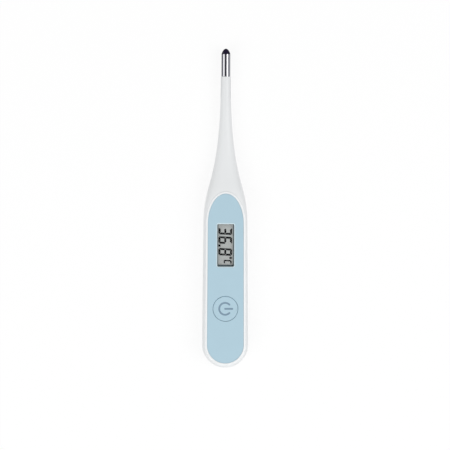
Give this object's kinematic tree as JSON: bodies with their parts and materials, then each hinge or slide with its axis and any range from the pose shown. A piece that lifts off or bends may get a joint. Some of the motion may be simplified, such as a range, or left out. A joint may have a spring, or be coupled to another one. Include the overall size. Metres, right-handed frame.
{
  "type": "digital thermometer",
  "caption": "Pen-shaped digital clinical thermometer: white flared case, blue front panel, display window, push button, sliding battery door and steel probe tip.",
  "frame": {"origin": "on the resting plane, under the middle of the overall length and width, with the thermometer lying on its flat back", "axes": "+Z out of the display, +Y towards the probe tip, +X across, to the right when the display faces the viewer and the probe points up"},
  "size_m": [0.0184, 0.128, 0.0104],
  "materials": {
    "case_white": "smooth white ABS, satin gloss",
    "panel_blue": "fine satin light blue plastic",
    "window_clear": "clear polished window",
    "probe_steel": "polished stainless steel",
    "foam_black": "black foam gasket",
    "black_plastic": "black moulded plastic",
    "polariser_grey": "grey polarising film",
    "display_glass": "thin clear glass",
    "strip_rubber": "layered conductive rubber",
    "board_green": "green lacquered glass-fibre board",
    "contact_nickel": "nickel-plated spring sheet",
    "screw_steel": "zinc-plated steel",
    "buzzer_brass": "rolled brass sheet",
    "buzzer_ceramic": "silvered ceramic disc",
    "cell_steel": "nickel-plated steel",
    "seal_nylon": "natural nylon",
    "chip_resin": "black epoxy drop",
    "chip_ceramic": "tan ceramic with tinned ends",
    "tape_white": "double-sided adhesive film",
    "wire_red": "coloured wire insulation",
    "tip_epoxy": "cast epoxy"
  },
  "bodies": {
    "housing": {"front_shell": "case_white", "rear_shell": "case_white", "front_panel": "panel_blue", "panel_adhesive": "tape_white", "display_window": "window_clear", "display_gasket": "foam_black", "display_front_polariser": "polariser_grey", "display_front_glass": "display_glass", "display_rear_glass": "display_glass", "display_rear_polariser": "polariser_grey", "display_holder": "black_plastic", "contact_strip_left": "strip_rubber", "contact_strip_right": "strip_rubber", "switch_housing": "black_plastic", "switch_cover": "contact_nickel", "circuit_board": "board_green", "board_screw_front": "screw_steel", "board_screw_rear": "screw_steel", "chip_glob": "chip_resin", "resistor_1": "chip_resin", "resistor_2": "chip_resin", "resistor_3": "chip_resin", "capacitor_1": "chip_ceramic", "capacitor_2": "chip_ceramic", "capacitor_3": "chip_ceramic", "buzzer_plate": "buzzer_brass", "buzzer_disc": "buzzer_ceramic", "buzzer_wire_plate": "wire_red", "buzzer_wire_disc": "wire_red", "cell_can": "cell_steel", "cell_seal": "seal_nylon", "cell_cap": "cell_steel", "cell_contact_top": "contact_nickel", "cell_contact_side": "contact_nickel", "probe_tip": "probe_steel", "tip_potting": "tip_epoxy", "sensor_bead": "tip_epoxy", "sensor_lead_left": "wire_red", "sensor_lead_right": "wire_red"},
    "button": {"power_button": "panel_blue"},
    "plunger": {"switch_plunger": "seal_nylon"},
    "door": {"battery_door": "case_white"}
  },
  "joints": [
    {"name": "power_button_press", "type": "slide", "parent": "housing", "child": "button", "axis": [0, 0, -1], "range_m": [0, 0.0005], "stiffness_N_per_m": 2000},
    {"name": "switch_plunger_press", "type": "slide", "parent": "housing", "child": "plunger", "axis": [0, 0, -1], "range_m": [0, 0.00025]},
    {"name": "battery_door_slide", "type": "slide", "parent": "housing", "child": "door", "axis": [0, -1, 0], "range_m": [0, 0.022]}
  ],
  "couplings": [
    {"joint": "switch_plunger_press", "follows": "power_button_press", "ratio": 0.5}
  ]
}
